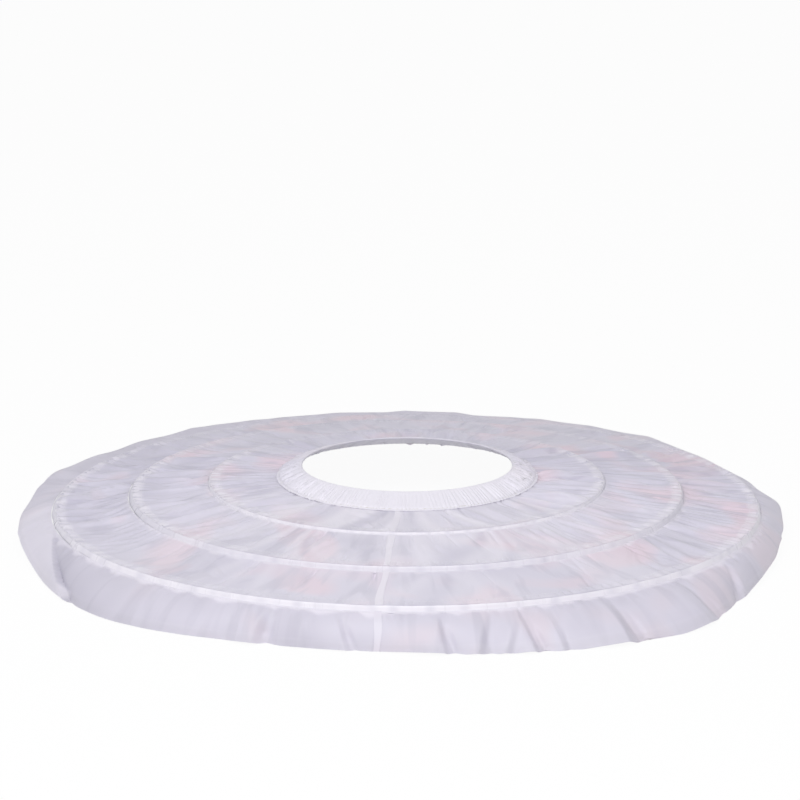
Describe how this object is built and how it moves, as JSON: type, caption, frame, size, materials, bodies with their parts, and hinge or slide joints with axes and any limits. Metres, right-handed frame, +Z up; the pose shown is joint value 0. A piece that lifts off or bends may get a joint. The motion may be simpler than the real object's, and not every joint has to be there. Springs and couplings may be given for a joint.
{
  "type": "hoop petticoat",
  "caption": "Flat hoop petticoat: a gathered white cloth disc held out by boned hoops in sewn casings, with a ruched elastic waist and a free hem flounce.",
  "frame": {"origin": "centre of the waist opening, halfway up the fold that grips the waist", "axes": "+Z up along the axis of the waist opening, -Y to the front, +X to the wearer's left"},
  "size_m": [0.9533, 0.938, 0.0863],
  "materials": {
    "cloth": "white taffeta with a soft sheen",
    "casing_cloth": "white taffeta, doubled",
    "elastic": "woven elastic",
    "boning": "white coating on spring steel",
    "sleeve": "plain sheet steel"
  },
  "bodies": {
    "root": {"waist_casing": "casing_cloth", "waist_elastic": "elastic", "inner_tier": "cloth", "inner_casing": "casing_cloth", "inner_hoop": "boning", "inner_joiner": "sleeve", "middle_tier": "cloth", "middle_casing": "casing_cloth", "middle_hoop": "boning", "middle_joiner": "sleeve", "outer_tier": "cloth", "outer_casing": "casing_cloth", "outer_hoop": "boning", "outer_joiner": "sleeve", "hem_flounce": "cloth"}
  },
  "joints": []
}
